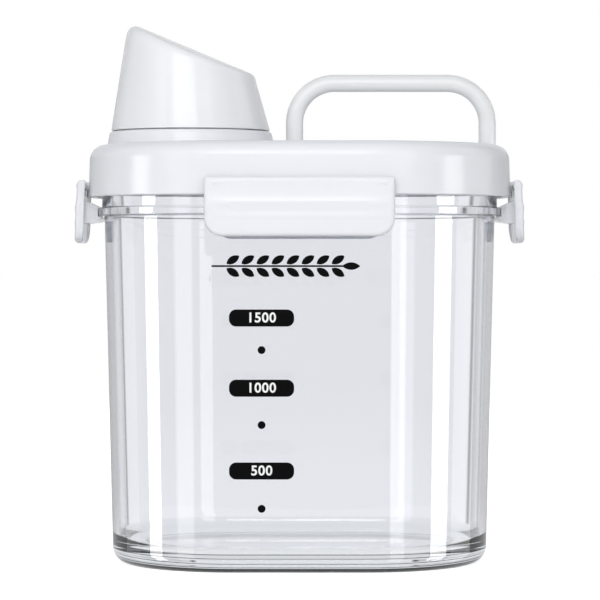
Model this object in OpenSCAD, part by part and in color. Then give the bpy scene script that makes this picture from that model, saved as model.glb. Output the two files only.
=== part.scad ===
// Dry-food container: clear body, latched white lid with a folding carry handle,
// and a pouring spout closed by a lift-off measuring cup.
// +Z is up, the front faces -Y, and the origin is under the middle of the base.

/* [Container body] */
// Outside width of the body just under its ledge
body_w = 160.1; // [150:0.1:176]
// Outside depth of the body just under its ledge
body_d = 123.7; // [116:0.1:140]
// Outside radius of the body's upright corners
body_corner = 53.55; // [48:0.05:56]
// Height of the body's rim above the table
body_h = 156.5; // [130:0.5:190]
// Thickness of the side walls
body_wall = 2.6; // [2:0.1:3.2]
// Height of the inside floor above the table
floor_h = 7; // [5:0.5:10]
// Slope of the side walls, which widen upwards
draft = 1.46; // [0.5:0.02:2]
// Radius of the outside edge around the base
base_round = 10.2; // [6:0.2:11]
// Radius of the inside edge around the floor
floor_round = 6; // [4:0.5:8]
// Width of the ring that the base stands on
foot_w = 13; // [12:0.5:16]
// Depth of the hollow inside the foot ring
foot_hollow = 1.8; // [1:0.2:2.6]
// Distance from the rim down to the underside of the latching ledge
ledge_drop = 14.7; // [13:0.1:17]
// How far the latching ledge stands out from the wall
ledge_out = 2.6; // [2.2:0.1:3]
// Thickness of the latching ledge
ledge_t = 3.4; // [1.4:0.1:3.6]
// How far the rim band stands out from the wall
rim_out = 1; // [0.6:0.1:1.4]

/* [Lid] */
// Gap between the rim band and the inside of the lid's skirt
skirt_gap = 3.05; // [2:0.05:3.4]
// Wall thickness of the lid's skirt
lid_wall = 2.4; // [2:0.1:2.8]
// How far the skirt reaches down over the rim
skirt_drop = 7; // [5:0.2:8]
// Slope of the skirt, which narrows upwards
skirt_draft = 1.5; // [0.5:0.1:2]
// Thickness of the lid's top plate
lid_plate = 2.2; // [1.8:0.1:2.6]
// Radius of the rounded edge around the lid's top
lid_edge = 6.2; // [5.8:0.1:6.4]
// Thickness of the liner panel inside the lid
liner_t = 1.8; // [1.4:0.1:2.4]
// Depth of the liner's plug wall inside the body's mouth
plug_depth = 6; // [4:0.5:8]
// Thickness of the liner's plug wall
plug_wall = 1.6; // [1.2:0.1:2]
// Height of the silicone gasket on the rim
gasket_t = 3; // [2:0.1:3.6]

/* [Carry handle] */
// Diameter of the handle's round bar
bar_d = 7.1; // [6.4:0.1:7.4]
// Distance between the centres of the handle's two legs
handle_w = 79.7; // [70:0.1:80]
// Middle of the handle, to the right of the lid's middle
handle_x = 37.8; // [37.6:0.05:38]
// Distance from the pivot axis to the middle of the grip bar
handle_reach = 29.65; // [27:0.05:34]
// Bend radius of the bar's centre line
handle_bend = 16.5; // [12:0.5:20]
// Diameter of the pivot studs at the ends of the legs
stud_d = 3.2; // [2.6:0.1:3.6]
// Wall thickness of the trough that the handle folds into
trough_wall = 1.8; // [1.4:0.1:1.9]

/* [Spout and measuring cup] */
// Middle of the spout, to the left of the lid's middle
spout_x = -45; // [-46:0.1:-44]
// Outside radius of the spout's collar at the lid
collar_r = 34.5; // [34:0.1:35]
// Height of the collar above the lid
collar_h = 5.9; // [5:0.1:7]
// Outside radius of the cup at its open end
cup_r = 32.9; // [32:0.1:33]
// Height of the cup's sloping end above the collar, at the spout's middle
cup_h = 34.2; // [32:0.1:44]
// Slope of the cup's closed end
cup_slant = 22.8; // [16:0.1:24]
// Narrowing of the cup's radius for each mm of height
cup_taper = 0.22; // [0.16:0.01:0.22]
// Sideways lean of the cup to the left for each mm of height
cup_lean = 0.064; // [0:0.002:0.08]
// Crown of the cup's closed end across the slope
cup_crown = 2.8; // [1:0.1:3]
// Wall thickness of the cup
cup_wall = 1.9; // [1.6:0.1:2.1]
// Wall thickness of the spout
spout_wall = 1.8; // [1.4:0.1:2.2]
// Gap between the spout and the inside of the cup
cup_gap = 2.6; // [2.4:0.1:3]
// Height that the spout's mouth stays below the cup's closed end
mouth_drop = 7; // [6:0.5:12]

/* [Latches] */
// Width of the front and back latches
long_latch_w = 74.4; // [60:0.2:80]
// Height of the front and back latches
long_latch_h = 23.4; // [22:0.1:27]
// Width of the left and right latches
side_latch_w = 38; // [34:0.2:40]
// Height of the left and right latches
side_latch_h = 25.7; // [22:0.1:28]
// Thickness of a latch's plate
latch_t = 3.6; // [3.2:0.1:3.8]
// How far a latch's top stands above the skirt's lower edge
latch_rise = 6.9; // [6.4:0.1:8]
// How far a latch's claw reaches under the ledge
claw_grip = 1.2; // [0.8:0.1:1.4]
// Diameter of the latches' hinge pins
pin_d = 1.8; // [1.6:0.1:2]

/* [Printed marks] */
// Width of the plate behind each number
plate_w = 25.6; // [20:0.2:30]
// Height of the plate behind each number
plate_h = 6.7; // [5:0.1:8]
// Middle of the scale, to the left of the body's middle
scale_x = -14.9; // [-18:0.1:0]
// Length of the ear of grain printed above the scale
ear_len = 59; // [40:1:60]
// Height of the ear of grain above the table
ear_z = 121.4; // [114:0.1:122]

/* [Hidden] */
$fn = 96;

white = [0.94, 0.94, 0.96];
clear = [0.85, 0.87, 0.90, 0.35];
silicone = [0.88, 0.90, 0.92];
ink = [0.03, 0.03, 0.04];

// Small clearances
moving_gap = 0.3;
seat_gap = 0.2;
pin_gap = 0.05;
overcut = 1;

// Plan: every outline is a rounded rectangle about the same four corner centres,
// so a profile is drawn as [distance out from a corner centre, height]
corner_x = body_w / 2 - body_corner;
corner_y = body_d / 2 - body_corner;

// Body, as distances out from the corner centres
ledge_z = body_h - ledge_drop;
foot_r = body_corner - ledge_z * tan(draft);
rim_r = body_corner + rim_out;
ledge_r = body_corner + ledge_out;
mouth_r = body_corner - body_wall;
function wall_r(z) = foot_r + z * tan(draft);

// Lid, from the rim outwards and the gasket upwards
skirt_in_r = rim_r + skirt_gap;
lid_r = skirt_in_r + lid_wall;
lid_z = body_h - skirt_drop;
liner_z = body_h + gasket_t;
trough_under = 0.6;
trough_side = 0.3;
lid_top = liner_z + liner_t + trough_wall + trough_under + bar_d;
lid_edge_z = lid_top - lid_edge;
function skirt_r(z) = lid_r - (z - lid_z) * tan(skirt_draft);

// Handle: the pivot axis runs along X
pivot_z = lid_top - bar_d / 2;
stud_len = 1.6;
leg_x = handle_w / 2;

// Spout and cup
seam_z = lid_top + collar_h;
neck_r = cup_r - cup_wall - cup_gap;
slope = tan(cup_slant);
collar_draw = 1.1;
collar_wall = 2;
shoulder = 1.2;
seal_h = 2.6;
cone_steps = 72;
cone_bends = 5;
end_rings = [0.7, 0.45, 0.2];
cone_rings = cone_bends + 2 + len(end_rings);
seal_out_r = neck_r + 1.6;
snap_out = 0.9;
snap_h = 1;

// Latches, as distances out from the lid's skirt
axis_out = 2.8;
axis_drop = 2.3;
barrel_r = 2;
ear_r = 1.6;
ear_w = 3.5;
ear_rise = 0.4;
latch_swing = 100;
plate_top_out = 5.3;
plate_low_out = 6.1;
latch_top_round = 2;
latch_low_round = 1.7;
latch_corner = 7.2;
latch_top_corner = 0.8;
latch_top = lid_z + latch_rise;
axis_z = latch_top - axis_drop;
slot_out = axis_drop * tan(latch_swing - 90) + ear_rise + moving_gap;
barrel_inset = 3.2;
long_ear = long_latch_w * 0.27;
side_ear = side_latch_w * 0.21;

// ---- plan and profile helpers ----

// Sweeps a profile all the way around the plan
module around() {
    for (turn = [0, 180]) rotate(turn) {
        translate([corner_x, corner_y, 0]) rotate_extrude(angle = 90) children();
        translate([-corner_x, corner_y, 0]) rotate(90) rotate_extrude(angle = 90) children();
        translate([-corner_x, corner_y, 0]) rotate([90, 0, 90]) linear_extrude(2 * corner_x) children();
        translate([corner_x, corner_y, 0]) rotate([90, 0, 0]) linear_extrude(2 * corner_y) children();
    }
}

// Fills the middle of a swept form between two heights
module middle(z0, z1) {
    translate([-corner_x, -corner_y, z0]) cube([2 * corner_x, 2 * corner_y, z1 - z0]);
}

// A flat panel of the plan's outline, r out from the corner centres
module panel(r, z0, z1) {
    middle(z0, z1);
    around() translate([0, z0]) square([r, z1 - z0]);
}

// Sweeps a profile around one side: c is that side's distance and s its half length
module along_side(c, s) {
    translate([c, 0, 0]) rotate([90, 0, 0]) linear_extrude(2 * s, center = true) children();
    for (end = [0, 1]) mirror([0, end, 0])
        translate([c, s, 0]) rotate_extrude(angle = 40) children();
}

// ---- container body ----

module body_outline() {
    round_x = foot_r + base_round * tan(draft) - base_round / cos(draft);
    tangent = [round_x + base_round * cos(draft), base_round - base_round * sin(draft)];
    polygon([[0, 0], [round_x, 0], [round_x, base_round], tangent,
        [body_corner, ledge_z], [wall_r(body_h), body_h], [0, body_h]]);
    translate([round_x, base_round]) circle(base_round);
}

module body_hollow() {
    in_r = foot_r - body_wall;
    round_x = in_r + (floor_h + floor_round) * tan(draft) - floor_round / cos(draft);
    round_z = floor_h + floor_round;
    tangent = [round_x + floor_round * cos(draft), round_z - floor_round * sin(draft)];
    top = body_h + overcut;
    polygon([[0, floor_h], [round_x, floor_h], [round_x, round_z], tangent,
        [wall_r(top) - body_wall, top], [0, top]]);
    translate([round_x, round_z]) circle(floor_round);
}

module container_body() {
    hollow_r = foot_r - foot_w;
    color(clear) {
        around() difference() {
            union() {
                body_outline();
                translate([0, ledge_z]) square([rim_r, body_h - ledge_z]);
                translate([0, ledge_z]) square([ledge_r, ledge_t]);
            }
            body_hollow();
            translate([0, -overcut]) square([hollow_r, foot_hollow + overcut]);
        }
        middle(foot_hollow, floor_h);
    }
}

// ---- lid ----

module lid_outline() {
    round_x = skirt_r(lid_edge_z) - lid_edge / cos(skirt_draft);
    tangent = [round_x + lid_edge * cos(skirt_draft), lid_edge_z + lid_edge * sin(skirt_draft)];
    polygon([[0, lid_z], [lid_r, lid_z], tangent, [round_x, lid_edge_z], [round_x, lid_top], [0, lid_top]]);
    translate([round_x, lid_edge_z]) circle(lid_edge);
}

module lid_inside() {
    top = lid_top - lid_plate;
    in_round = lid_edge - lid_plate;
    round_z = top - in_round;
    round_x = skirt_r(round_z) - lid_wall - in_round;
    polygon([[0, lid_z - overcut], [skirt_in_r, lid_z - overcut], [skirt_in_r, lid_z],
        [round_x + in_round, round_z], [round_x, round_z], [round_x, top], [0, top]]);
    translate([round_x, round_z]) circle(in_round);
}

// Rounded U that the handle fills when it lies folded, w wide
module handle_track(w) {
    outer = handle_bend + w / 2;
    inner = handle_bend - w / 2;
    module half_u(r, edge) {
        intersection() {
            union() {
                translate([-edge, -2 * w]) square([2 * edge, handle_reach - handle_bend + 2 * w]);
                translate([-edge + r, 0]) square([2 * (edge - r), handle_reach - handle_bend + r]);
                for (s = [-1, 1]) translate([s * (edge - r), handle_reach - handle_bend]) circle(r);
            }
            translate([-edge, -w / 2]) square([2 * edge, handle_reach + 2 * w]);
        }
    }
    translate([handle_x, 0]) difference() {
        half_u(outer, leg_x + w / 2);
        half_u(inner, leg_x - w / 2);
    }
}

module hinge_ears(c, at) {
    x = c + lid_r + axis_out;
    for (s = [-1, 1]) translate([x, s * at, axis_z]) difference() {
        union() {
            rotate([90, 0, 0]) cylinder(r = ear_r, h = ear_w, center = true);
            translate([-axis_out - lid_wall / 2, -ear_w / 2, -ear_r])
                cube([axis_out + lid_wall / 2, ear_w, ear_r + ear_rise]);
        }
        rotate([90, 0, 0]) cylinder(d = pin_d + 2 * pin_gap, h = 2 * ear_w, center = true);
    }
}

// Calls its children for the front, back, left and right sides in turn
module each_side() {
    rotate(-90) children(0);
    rotate(90) children(0);
    children(1);
    rotate(180) children(1);
}

module lid_cover() {
    trough_w = bar_d + 2 * trough_side;
    trough_z = pivot_z - bar_d / 2 - trough_under;
    trough_low = trough_z - trough_wall;
    color(white) difference() {
        union() {
            around() difference() {
                lid_outline();
                lid_inside();
            }
            middle(lid_top - lid_plate, lid_top);
            translate([0, 0, trough_low]) linear_extrude(lid_top - lid_plate / 2 - trough_low)
                handle_track(trough_w + 2 * trough_wall);
            each_side() {
                hinge_ears(corner_y, long_ear);
                hinge_ears(corner_x, side_ear);
            }
        }
        translate([0, 0, trough_z]) linear_extrude(bar_d + trough_under + overcut) handle_track(trough_w);
        translate([spout_x, 0, liner_z]) cylinder(r = neck_r + seat_gap, h = lid_top);
        for (s = [-1, 1]) translate([handle_x + s * (leg_x + bar_d / 2), 0, pivot_z]) rotate([0, 90, 0])
            cylinder(d = stud_d + 2 * pin_gap, h = 2 * stud_len, center = true);
    }
}

module lid_liner() {
    plug_r = mouth_r - plug_wall - moving_gap;
    plug_z = body_h - plug_depth;
    liner_top = liner_z + liner_t;
    color(white) difference() {
        union() {
            panel(skirt_r(liner_top) - lid_wall - seat_gap, liner_z, liner_top);
            around() translate([plug_r, plug_z]) square([plug_wall, liner_top - plug_z]);
        }
        translate([spout_x, 0, liner_z - overcut]) cylinder(r = neck_r + seat_gap, h = liner_t + 2 * overcut);
    }
}

module lid_gasket() {
    land = rim_r - mouth_r;
    color(silicone) around() difference() {
        translate([mouth_r, body_h]) square([land, gasket_t]);
        translate([rim_r, body_h + gasket_t / 2]) circle(gasket_t / 5);
    }
}

// ---- spout and cup ----

// Height of a leaning cone's edge at angle t, where the sloping end cuts it
function edge_h(r, t, drop, crown) =
    let (level_h = cup_h - drop - crown * pow(sin(t), 2) - slope * r * cos(t))
    level_h / (1 - slope * (cup_lean + cup_taper * cos(t)));

// Point on the leaning cone of base radius r, at angle t and height h over the seam
function cone_pt(r, t, h) =
    [spout_x - cup_lean * h + (r - cup_taper * h) * cos(t), (r - cup_taper * h) * sin(t), seam_z + h];

// Length of the rounding at the edge: long at the high left end, short at the low right end
function edge_round(t) = 1.2 + 5.8 * pow((1 - cos(t)) / 2, 1.5);

// Point of the sloping end, g of the way from its middle to the edge
function end_pt(r, t, g, drop, crown) =
    let (edge = cone_pt(r, t, edge_h(r, t, drop, crown)), mid_x = spout_x - cup_lean * cup_h,
        x = mid_x + g * (edge.x - mid_x))
    [x, g * edge.y, seam_z + cup_h - drop - slope * (x - spout_x) - crown * pow(g * sin(t), 2)];

function bend(a, b, c, u) = (1 - u) * (1 - u) * a + 2 * u * (1 - u) * b + u * u * c;

// Points of a leaning cone from height h0 to a sloping end, ring by ring, then the end's middle.
// Its edge is rounded where soft is 1.
function cone_points(r, h0, drop, crown, soft) = concat([for (k = [0:cone_rings - 1], i = [0:cone_steps - 1])
    let (
        t = i * 360 / cone_steps,
        top = edge_h(r, t, drop, crown),
        size = soft * edge_round(t) + 0.05,
        a = cone_pt(r, t, top - size),
        b = cone_pt(r, t, top),
        c = end_pt(r, t, 1 - size / r, drop, crown))
    k == 0 ? cone_pt(r, t, h0)
        : k <= cone_bends + 1 ? bend(a, b, c, (k - 1) / cone_bends)
        : end_pt(r, t, end_rings[k - cone_bends - 2], drop, crown)],
    [end_pt(r, 0, 0, drop, crown)]);

// Faces of a leaning cone whose points start at first, turned inside out where inner is true
function cone_faces(first, inner) = let (
        low = [for (k = [0:cone_rings - 2], i = [0:cone_steps - 1]) [k, i]],
        last = first + (cone_rings - 1) * cone_steps,
        middle_pt = first + cone_rings * cone_steps,
        out = concat(
            [for (q = low) let (at = first + q[0] * cone_steps, j = (q[1] + 1) % cone_steps)
                [at + q[1], at + cone_steps + q[1], at + j]],
            [for (q = low) let (at = first + q[0] * cone_steps, j = (q[1] + 1) % cone_steps)
                [at + j, at + cone_steps + q[1], at + cone_steps + j]],
            [for (i = [0:cone_steps - 1]) [last + (i + 1) % cone_steps, last + i, middle_pt]]))
    inner ? [for (f = out) [f[2], f[1], f[0]]] : out;

module leaning_cone(r, h0, drop) {
    points = concat(cone_points(r, h0, drop, 0, 0), [cone_pt(0, 0, h0)]);
    base_pt = len(points) - 1;
    polyhedron(points, concat(cone_faces(0, false),
        [for (i = [0:cone_steps - 1]) [i, (i + 1) % cone_steps, base_pt]]));
}

// A hollow leaning cone with a closed, crowned end and an open base
module leaning_shell(r, wall, crown) {
    outside = cone_points(r, 0, 0, crown, 1);
    inside = cone_points(r - wall, 0, wall, crown, 1);
    first = len(outside);
    polyhedron(concat(outside, inside), concat(cone_faces(0, false), cone_faces(first, true),
        [for (i = [0:cone_steps - 1]) [i, (i + 1) % cone_steps, first + i]],
        [for (i = [0:cone_steps - 1]) [first + i, (i + 1) % cone_steps, first + (i + 1) % cone_steps]]));
}

module pour_spout() {
    top_r = collar_r - collar_draw;
    snap_z = lid_top - lid_plate - seat_gap - snap_h;
    color(white) difference() {
        union() {
            translate([spout_x, 0, 0]) rotate_extrude() difference() {
                union() {
                    polygon([[0, liner_z], [neck_r, liner_z], [neck_r, lid_top], [collar_r, lid_top],
                        [top_r, seam_z - shoulder], [top_r - shoulder, seam_z - shoulder],
                        [top_r - shoulder, seam_z], [0, seam_z]]);
                    translate([top_r - shoulder, seam_z - shoulder]) circle(shoulder);
                    translate([neck_r - overcut, snap_z]) square([overcut + snap_out, snap_h]);
                }
                translate([neck_r, lid_top - overcut])
                    square([collar_r - collar_wall - neck_r, overcut + collar_h - collar_wall]);
            }
            leaning_cone(neck_r, -overcut, mouth_drop);
        }
        translate([spout_x, 0, liner_z - overcut]) cylinder(r = neck_r - spout_wall, h = seam_z - liner_z);
        leaning_cone(neck_r - spout_wall, -2 * overcut, mouth_drop - spout_wall * 2);
    }
}

module spout_seal() {
    color(silicone) translate([spout_x, 0, seam_z]) difference() {
        cylinder(r = seal_out_r, h = seal_h);
        translate([0, 0, -overcut]) cylinder(r = neck_r, h = seal_h + 2 * overcut);
    }
}

module measuring_cup() {
    color(white) translate([0, 0, moving_gap]) leaning_shell(cup_r, cup_wall, cup_crown);
}

// ---- carry handle ----

module carry_handle() {
    leg_len = handle_reach - handle_bend;
    color(white) translate([handle_x, 0, pivot_z]) for (s = [0, 1]) mirror([s, 0, 0]) {
        translate([leg_x, 0, 0]) {
            cylinder(d = bar_d, h = leg_len);
            sphere(d = bar_d);
            rotate([0, 90, 0]) cylinder(d = stud_d, h = bar_d / 2 + stud_len - pin_gap);
        }
        translate([leg_x - handle_bend, 0, leg_len]) rotate([90, 0, 0])
            rotate_extrude(angle = 90) translate([handle_bend, 0]) circle(d = bar_d);
        translate([0, 0, handle_reach]) rotate([0, 90, 0]) cylinder(d = bar_d, h = leg_x - handle_bend);
    }
}

// ---- latches and their pins ----

// Plate of a latch, as distances out from the lid's skirt
module latch_section(h) {
    low = latch_top - h;
    top_in = plate_top_out - latch_t;
    low_in = plate_low_out - latch_t;
    polygon([[top_in, latch_top], [plate_top_out - latch_top_round, latch_top],
        [plate_top_out, latch_top - latch_top_round], [plate_low_out, low + latch_low_round],
        [plate_low_out - latch_low_round, low], [low_in, low]]);
    translate([plate_top_out - latch_top_round, latch_top - latch_top_round]) circle(latch_top_round);
    translate([plate_low_out - latch_low_round, low + latch_low_round]) circle(latch_low_round);
}

// Claw that reaches under the body's ledge
module claw_section() {
    ledge = ledge_r - lid_r;
    tip = ledge - claw_grip;
    top = ledge_z - moving_gap;
    clear_x = ledge + moving_gap;
    polygon([[tip, top], [clear_x, top], [clear_x, ledge_z + ledge_t + moving_gap],
        [plate_top_out - latch_t / 2, lid_z - 0.6], [plate_low_out - latch_t / 2, top - 3],
        [tip + 1.6, top - 2], [tip, top - 1.2]]);
}

module latch_outline(w, h) {
    low = latch_top - h;
    half = w / 2;
    for (s = [-1, 1]) {
        translate([s * (half - latch_corner), low + latch_corner]) circle(latch_corner);
        translate([s * (half - latch_top_corner), latch_top - latch_top_corner]) circle(latch_top_corner);
    }
    translate([-half + latch_corner, low]) square([w - 2 * latch_corner, h]);
    translate([-half, low + latch_corner]) square([w, h - latch_corner - latch_top_corner]);
    translate([-half + latch_top_corner, latch_top - 2]) square([w - 2 * latch_top_corner, 2]);
}

module latch(c, s, w, h, ear_at) {
    x = c + lid_r + axis_out;
    barrel_len = w - 2 * barrel_inset;
    color(white) difference() {
        union() {
            intersection() {
                along_side(c, s) translate([lid_r, 0]) latch_section(h);
                rotate([90, 0, 90]) linear_extrude(2 * body_w) latch_outline(w, h);
            }
            intersection() {
                along_side(c, s) translate([lid_r, 0]) claw_section();
                translate([0, -w / 2 + barrel_inset, 0]) cube([2 * body_w, w - 2 * barrel_inset, lid_top]);
            }
            translate([x, 0, axis_z]) rotate([90, 0, 0])
                cylinder(r = barrel_r, h = barrel_len, center = true);
        }
        translate([x, 0, axis_z]) rotate([90, 0, 0])
            cylinder(d = pin_d + 2 * pin_gap, h = barrel_len, center = true);
        for (side = [-1, 1]) translate([x, side * ear_at, axis_z]) {
            rotate([90, 0, 0]) cylinder(r = ear_r + moving_gap, h = ear_w + 2 * moving_gap, center = true);
            translate([-axis_out - barrel_r, -ear_w / 2 - moving_gap, -2 * barrel_r])
                cube([axis_out + barrel_r, ear_w + 2 * moving_gap, 2 * barrel_r]);
            translate([-axis_out - barrel_r, -ear_w / 2 - moving_gap, -moving_gap])
                cube([axis_out + barrel_r + slot_out, ear_w + 2 * moving_gap, 2 * axis_drop]);
        }
    }
}

module hinge_pin(c, w) {
    length = w - 2 * barrel_inset - 2 * moving_gap;
    color(white) translate([c + lid_r + axis_out, 0, axis_z]) rotate([90, 0, 0])
        cylinder(d = pin_d, h = length, center = true);
}

module long_latch() { latch(corner_y, corner_x, long_latch_w, long_latch_h, long_ear); }
module side_latch() { latch(corner_x, corner_y, side_latch_w, side_latch_h, side_ear); }

// ---- printed marks ----

mark_heights = [40.8, 73.4, 101];
dot_heights = [25.9, 58.9, 88.4];
dot_d = 3.1;
ink_t = 0.12;

// Lays flat artwork, drawn as [x, height], on the front wall as a thin layer of ink
module on_front() {
    intersection() {
        rotate([90, 0, 0]) linear_extrude(body_d) children();
        rotate(-90) along_side(corner_y, corner_x) polygon([[wall_r(0), 0], [wall_r(0) + ink_t, 0],
            [wall_r(ledge_z) + ink_t, ledge_z], [wall_r(ledge_z), ledge_z]]);
    }
}

module number_plate() {
    r = plate_h * 0.42;
    for (sx = [-1, 1], sy = [-1, 1]) translate([sx * (plate_w / 2 - r), sy * (plate_h / 2 - r)]) circle(r);
    square([plate_w - 2 * r, plate_h], center = true);
    square([plate_w, plate_h - 2 * r], center = true);
}

module level_marks() {
    color(ink) on_front() {
        for (z = mark_heights) translate([scale_x, z]) number_plate();
        for (z = dot_heights) translate([scale_x, z]) circle(d = dot_d);
    }
}

// A leaf-shaped grain, l long and w wide, with its base at the origin
module grain(l, w) {
    r = (l * l + w * w) / (4 * w);
    translate([l / 2, 0]) intersection() {
        translate([0, r - w / 2]) circle(r);
        translate([0, w / 2 - r]) circle(r);
    }
}

// An ear of grain lying on its side: pairs of grains along a stem, with one at the tip
module grain_print() {
    pairs = 8;
    lift = 32;
    pitch = ear_len / (pairs + 2);
    stem_t = 0.12 * pitch;
    color(ink) on_front() translate([scale_x - ear_len / 3, ear_z]) {
        translate([0, -stem_t / 2]) square([ear_len - pitch, stem_t]);
        for (i = [1:pairs], s = [-1, 1])
            translate([i * pitch, s * 0.15 * pitch]) rotate(s * lift) grain(pitch, pitch / 2);
        translate([ear_len - 1.3 * pitch, 0]) grain(1.2 * pitch, pitch / 2);
    }
}

container_body();
lid_cover();
lid_liner();
lid_gasket();
pour_spout();
spout_seal();
measuring_cup();
carry_handle();
rotate(-90) long_latch();  // front_latch
rotate(90) long_latch();  // back_latch
rotate(180) side_latch();  // left_latch
side_latch();  // right_latch
rotate(-90) hinge_pin(corner_y, long_latch_w);  // front_hinge_pin
rotate(90) hinge_pin(corner_y, long_latch_w);  // back_hinge_pin
rotate(180) hinge_pin(corner_x, side_latch_w);  // left_hinge_pin
hinge_pin(corner_x, side_latch_w);  // right_hinge_pin
level_marks();
grain_print();
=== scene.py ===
"""Looks for the dry-food container: clear body, white latched lid, carry handle, spout and cup."""
import math

import bmesh
import bpy
from mathutils import Matrix, Vector


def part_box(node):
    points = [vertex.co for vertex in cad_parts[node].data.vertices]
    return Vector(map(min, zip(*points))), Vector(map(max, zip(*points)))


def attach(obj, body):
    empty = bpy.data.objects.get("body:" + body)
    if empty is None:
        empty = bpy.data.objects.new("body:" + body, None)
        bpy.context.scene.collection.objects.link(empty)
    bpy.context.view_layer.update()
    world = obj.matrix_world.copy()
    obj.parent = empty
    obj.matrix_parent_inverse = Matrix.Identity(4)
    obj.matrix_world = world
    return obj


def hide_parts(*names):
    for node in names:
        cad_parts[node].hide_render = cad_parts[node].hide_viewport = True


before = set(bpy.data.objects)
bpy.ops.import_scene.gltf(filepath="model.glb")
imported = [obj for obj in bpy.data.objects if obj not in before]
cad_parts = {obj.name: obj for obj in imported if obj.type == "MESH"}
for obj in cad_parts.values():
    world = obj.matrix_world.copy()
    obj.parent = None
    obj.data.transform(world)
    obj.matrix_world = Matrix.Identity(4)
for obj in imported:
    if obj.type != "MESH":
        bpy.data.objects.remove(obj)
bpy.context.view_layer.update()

MM = 0.001

# ---- sizes, in millimetres, from the frame's boxes and the radii about the plan's corner centres ----
# A name that ends in _R is a radius, _W a width, _T a thickness and _Z a height above the floor.


def box_mm(node):
    low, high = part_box(node)
    return low / MM, high / MM


body_high = box_mm("container_body")[1]
lid_high = box_mm("lid_cover")[1]
handle_low, handle_high = box_mm("carry_handle")
spout_low, spout_high = box_mm("pour_spout")
cup_low = box_mm("measuring_cup")[0]

# Clear body: radii of its wall, rim and ledge, and its heavy base
BODY_H = body_high.z
LEDGE_R = 56.15
RIM_R = 54.55
WALL_R = 53.55
LEDGE_DROP = 14.7
LEDGE_Z = BODY_H - LEDGE_DROP
LEDGE_T = 3.4
BODY_WALL = 2.6
FLOOR_Z = 7.0
FOOT_W = 13.0
FOOT_HOLLOW = 1.8
BASE_ROUND = 10.2
FLOOR_ROUND = 6.0
RIM_ROUND = 0.7
LEDGE_ROUND = 0.5
DRAFT = math.tan(math.radians(1.46))
CORNER = Vector((body_high.x - LEDGE_R, body_high.y - LEDGE_R))
# The plan's sweeps begin this far out from the corner centres, where the surface is flat.
PLAN_MIDDLE = 12.0
PLAN_STEPS = 40

# Lid: a skirt over the body's rim, and a plate with a large edge rounding
LID_R = 60.0
LID_WALL = 2.4
LID_OVERLAP = 7.0
LID_Z = BODY_H - LID_OVERLAP
LID_TOP = lid_high.z
LID_PLATE = 2.2
LID_EDGE = 6.2
LID_LIP = 0.7
SKIRT_DRAFT = math.tan(math.radians(1.5))

# Handle: a bent round bar on two studs, and the trough in the lid that it folds into
BAR_R = (handle_high.y - handle_low.y) / 2
HANDLE_BEND = 16.5
PIVOT_Z = handle_low.z + BAR_R
GRIP_Z = handle_high.z - BAR_R
HANDLE_REACH = GRIP_Z - PIVOT_Z
STUD_R = 1.6
STUD_LEN = 1.6
# A hair's breadth: how far joined pieces go into each other, and the play of a bore
OVER = 0.05
HANDLE_X = (handle_low.x + handle_high.x) / 2
LEG_X = (handle_high.x - handle_low.x) / 2 - BAR_R - STUD_LEN + OVER
TROUGH_SIDE = 0.3
TROUGH_UNDER = 0.6
TROUGH_Z = PIVOT_Z - BAR_R - TROUGH_UNDER
TROUGH_WALL = 1.8

# Spout and cup: one leaning, tapering cone for both, cut off at a slant
SPOUT_X = (spout_low.x + spout_high.x) / 2
COLLAR_R = (spout_high.x - spout_low.x) / 2
CUP_GAP = 0.3
SEAM_Z = cup_low.z - CUP_GAP
CUP_R = 32.9
CUP_H = 34.17
CUP_SLOPE = math.tan(math.radians(22.8))
CUP_TAPER = 0.22
CUP_LEAN = 0.064
CUP_CROWN = 2.8
CUP_WALL = 1.9
NECK_R = 28.4
SPOUT_WALL = 1.8
MOUTH_DROP = 7.0
CONE_SIDES = 144

# Latches: distances _OUT are from the foot of the lid's skirt
AXIS_OUT = 2.8
LATCH_TOP = LID_Z + 6.9
AXIS_DROP = 2.3
AXIS_Z = LATCH_TOP - AXIS_DROP
LATCH_T = 3.6
PLATE_TOP_OUT = 5.3
PLATE_LOW_OUT = 6.1
LATCH_LOW_CORNER = 7.2
LATCH_TOP_CORNER = 0.9
LATCH_BEVEL = 1.7
LATCH_BACK_BEVEL = 0.4
LATCH_MIDDLE = 10.2
BARREL_R = 2.0
BARREL_INSET = 3.2
EAR_R = 1.6
EAR_W = 3.5
EAR_RISE = 0.4
EAR_GAP = 0.3
PIN_R = 0.9
SWING_PAST_LEVEL = math.radians(10)

# Numerals: the height of each one's middle, and its place on the printed plates
NUMERALS = {"500": 40.8, "1000": 73.4, "1500": 101.0}
NUMERAL_X = -14.9
NUMERAL_H = 5.4
NUMERAL_T = 0.03
NUMERAL_BOLD = 0.12
PLATE_T = 0.16


def wall_r(z):
    return WALL_R + (z - LEDGE_Z) * DRAFT


def skirt_r(z):
    return LID_R - (z - LID_Z) * SKIRT_DRAFT


# ---- mesh helpers ----


def rounded(points, step=12.0):
    """Turns [x, y, radius] corners into a polyline with an arc at each corner that has a radius."""
    out = []
    count = len(points)
    for i, (x, y, radius) in enumerate(points):
        here = Vector((x, y))
        if radius <= 0:
            out.append(here)
            continue
        before = Vector(points[i - 1][:2]) - here
        after = Vector(points[(i + 1) % count][:2]) - here
        a, b = before.normalized(), after.normalized()
        half = a.angle(b) / 2
        reach = radius / math.tan(half)
        reach = min(reach, before.length * 0.499, after.length * 0.499)
        radius = reach * math.tan(half)
        centre = here + (a + b).normalized() * (radius / math.sin(half))
        start = here + a * reach - centre
        end = here + b * reach - centre
        turn = start.angle_signed(end)
        steps = max(2, math.ceil(abs(math.degrees(turn)) / step))
        for k in range(steps + 1):
            angle = -turn * k / steps
            out.append(centre + Matrix.Rotation(angle, 2) @ start)
    return out


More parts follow.
